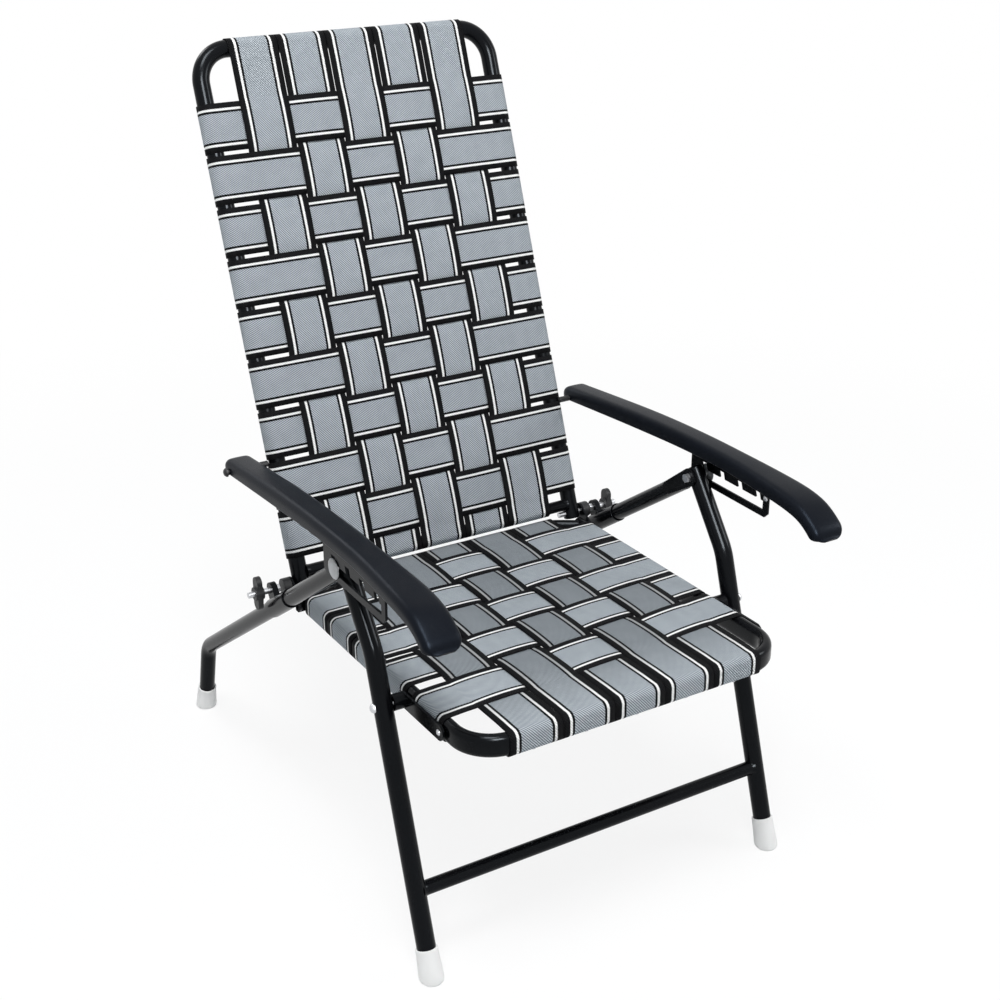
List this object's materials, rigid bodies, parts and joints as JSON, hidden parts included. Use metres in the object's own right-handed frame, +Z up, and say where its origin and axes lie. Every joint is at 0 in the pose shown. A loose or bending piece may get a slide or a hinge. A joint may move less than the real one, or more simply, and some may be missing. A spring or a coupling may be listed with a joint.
{
  "type": "folding webbed lawn chair",
  "caption": "Folding lawn chair of bent steel tube with woven webbing, and armrests on notched racks that set how far the back leans.",
  "frame": {"origin": "on the floor, under the middle of the chair", "axes": "+Z up, -Y the way the chair faces, +X the right side as seen from the front"},
  "size_m": [0.5658, 0.7878, 0.9783],
  "materials": {
    "frame_paint": "black paint on steel tube, satin to gloss",
    "zinc": "zinc plated steel",
    "cap_plastic": "light grey moulded cap",
    "armrest_plastic": "black moulded plastic, satin",
    "knob_plastic": "grey moulded wing knob",
    "foot_plastic": "white moulded cap",
    "webbing": "grey twill webbing with white and black lines along both edges"
  },
  "bodies": {
    "front_frame": {"front_leg_left": "frame_paint", "front_leg_right": "frame_paint", "front_crossbar": "frame_paint", "front_foot_left": "foot_plastic", "front_foot_right": "foot_plastic", "seat_pivot_bolt_left": "zinc", "seat_pivot_bolt_right": "zinc"},
    "seat": {"seat_frame": "frame_paint", "seat_rear_bar": "frame_paint", "seat_bracket_left": "frame_paint", "seat_bracket_right": "frame_paint", "seat_long_strap_1": "webbing", "seat_long_strap_2": "webbing", "seat_long_strap_3": "webbing", "seat_long_strap_4": "webbing", "seat_long_strap_5": "webbing", "seat_cross_strap_1": "webbing", "seat_cross_strap_2": "webbing", "seat_cross_strap_3": "webbing", "seat_cross_strap_4": "webbing", "seat_cross_strap_5": "webbing"},
    "hinge_bolts": {"hinge_bolt_left": "zinc", "hinge_bolt_right": "zinc"},
    "back": {"back_frame": "frame_paint", "back_crossbar": "frame_paint", "back_long_strap_1": "webbing", "back_long_strap_2": "webbing", "back_long_strap_3": "webbing", "back_long_strap_4": "webbing", "back_long_strap_5": "webbing", "back_cross_strap_1": "webbing", "back_cross_strap_2": "webbing", "back_cross_strap_3": "webbing", "back_cross_strap_4": "webbing", "back_cross_strap_5": "webbing", "back_cross_strap_6": "webbing", "back_cross_strap_7": "webbing", "back_cross_strap_8": "webbing", "back_cross_strap_9": "webbing"},
    "rear_leg_left": {"rear_leg_left": "frame_paint", "rear_foot_left": "foot_plastic"},
    "hinge_slider_left": {"hinge_slider_left": "frame_paint", "lock_bolt_left": "zinc"},
    "wing_knob_left": {"wing_knob_left": "knob_plastic"},
    "leg_pivot_bolt_left": {"leg_pivot_bolt_left": "zinc", "pin_cap_left": "cap_plastic"},
    "armrest_left": {"armrest_left": "armrest_plastic", "armrest_rack_left": "frame_paint", "armrest_bolt_left": "zinc"},
    "rear_leg_right": {"rear_leg_right": "frame_paint", "rear_foot_right": "foot_plastic"},
    "hinge_slider_right": {"hinge_slider_right": "frame_paint", "lock_bolt_right": "zinc"},
    "wing_knob_right": {"wing_knob_right": "knob_plastic"},
    "leg_pivot_bolt_right": {"leg_pivot_bolt_right": "zinc", "pin_cap_right": "cap_plastic"},
    "armrest_right": {"armrest_right": "armrest_plastic", "armrest_rack_right": "frame_paint", "armrest_bolt_right": "zinc"}
  },
  "joints": [
    {"name": "seat_fold", "type": "hinge", "parent": "front_frame", "child": "seat", "pos_m": [0, -0.22532, 0.317], "axis": [1, 0, 0], "range_deg": [0, 45]},
    {"name": "back_fold", "type": "hinge", "parent": "seat", "child": "hinge_bolts", "pos_m": [0, 0.08468, 0.327], "axis": [-1, 0, 0], "range_deg": [0, 34.5]},
    {"name": "back_recline", "type": "hinge", "parent": "hinge_bolts", "child": "back", "pos_m": [0, 0.08468, 0.327], "axis": [-1, 0, 0], "range_deg": [0, 49]},
    {"name": "rear_leg_fold_left", "type": "hinge", "parent": "front_frame", "child": "rear_leg_left", "pos_m": [-0.25, -0.14392, 0.46], "axis": [1, 0, 0], "range_deg": [0, 54.5]},
    {"name": "hinge_slide_left", "type": "slide", "parent": "rear_leg_left", "child": "hinge_slider_left", "axis": [0, -0.8195, 0.573], "range_m": [0, 0.1126]},
    {"name": "wing_knob_turn_left", "type": "hinge", "parent": "hinge_slider_left", "child": "wing_knob_left", "pos_m": [-0.25, 0.08468, 0.327], "axis": [-1, 0, 0], "continuous": true},
    {"name": "armrest_tilt_left", "type": "hinge", "parent": "rear_leg_left", "child": "leg_pivot_bolt_left", "pos_m": [-0.25, -0.14392, 0.46], "axis": [-1, 0, 0], "range_deg": [0, 13.5]},
    {"name": "armrest_slide_left", "type": "slide", "parent": "leg_pivot_bolt_left", "child": "armrest_left", "axis": [0, 1, 0], "range_m": [0, 0.1065]},
    {"name": "rear_leg_fold_right", "type": "hinge", "parent": "front_frame", "child": "rear_leg_right", "pos_m": [0.25, -0.14392, 0.46], "axis": [1, 0, 0], "range_deg": [0, 54.5]},
    {"name": "hinge_slide_right", "type": "slide", "parent": "rear_leg_right", "child": "hinge_slider_right", "axis": [0, -0.8195, 0.573], "range_m": [0, 0.1126]},
    {"name": "wing_knob_turn_right", "type": "hinge", "parent": "hinge_slider_right", "child": "wing_knob_right", "pos_m": [0.25, 0.08468, 0.327], "axis": [1, 0, 0], "continuous": true},
    {"name": "armrest_tilt_right", "type": "hinge", "parent": "rear_leg_right", "child": "leg_pivot_bolt_right", "pos_m": [0.25, -0.14392, 0.46], "axis": [-1, 0, 0], "range_deg": [0, 13.5]},
    {"name": "armrest_slide_right", "type": "slide", "parent": "leg_pivot_bolt_right", "child": "armrest_right", "axis": [0, 1, 0], "range_m": [0, 0.1065]}
  ],
  "couplings": [
    {"joint": "back_fold", "follows": "seat_fold", "ratio": 0.7662},
    {"joint": "rear_leg_fold_left", "follows": "seat_fold", "ratio": 1.21},
    {"joint": "hinge_slide_left", "follows": "seat_fold", "m_per_rad": 0.1433},
    {"joint": "armrest_tilt_left", "follows": "back_recline", "ratio": 0.2749},
    {"joint": "armrest_slide_left", "follows": "back_recline", "m_per_rad": 0.12453},
    {"joint": "rear_leg_fold_right", "follows": "seat_fold", "ratio": 1.21},
    {"joint": "hinge_slide_right", "follows": "seat_fold", "m_per_rad": 0.1433},
    {"joint": "armrest_tilt_right", "follows": "back_recline", "ratio": 0.2749},
    {"joint": "armrest_slide_right", "follows": "back_recline", "m_per_rad": 0.12453}
  ]
}
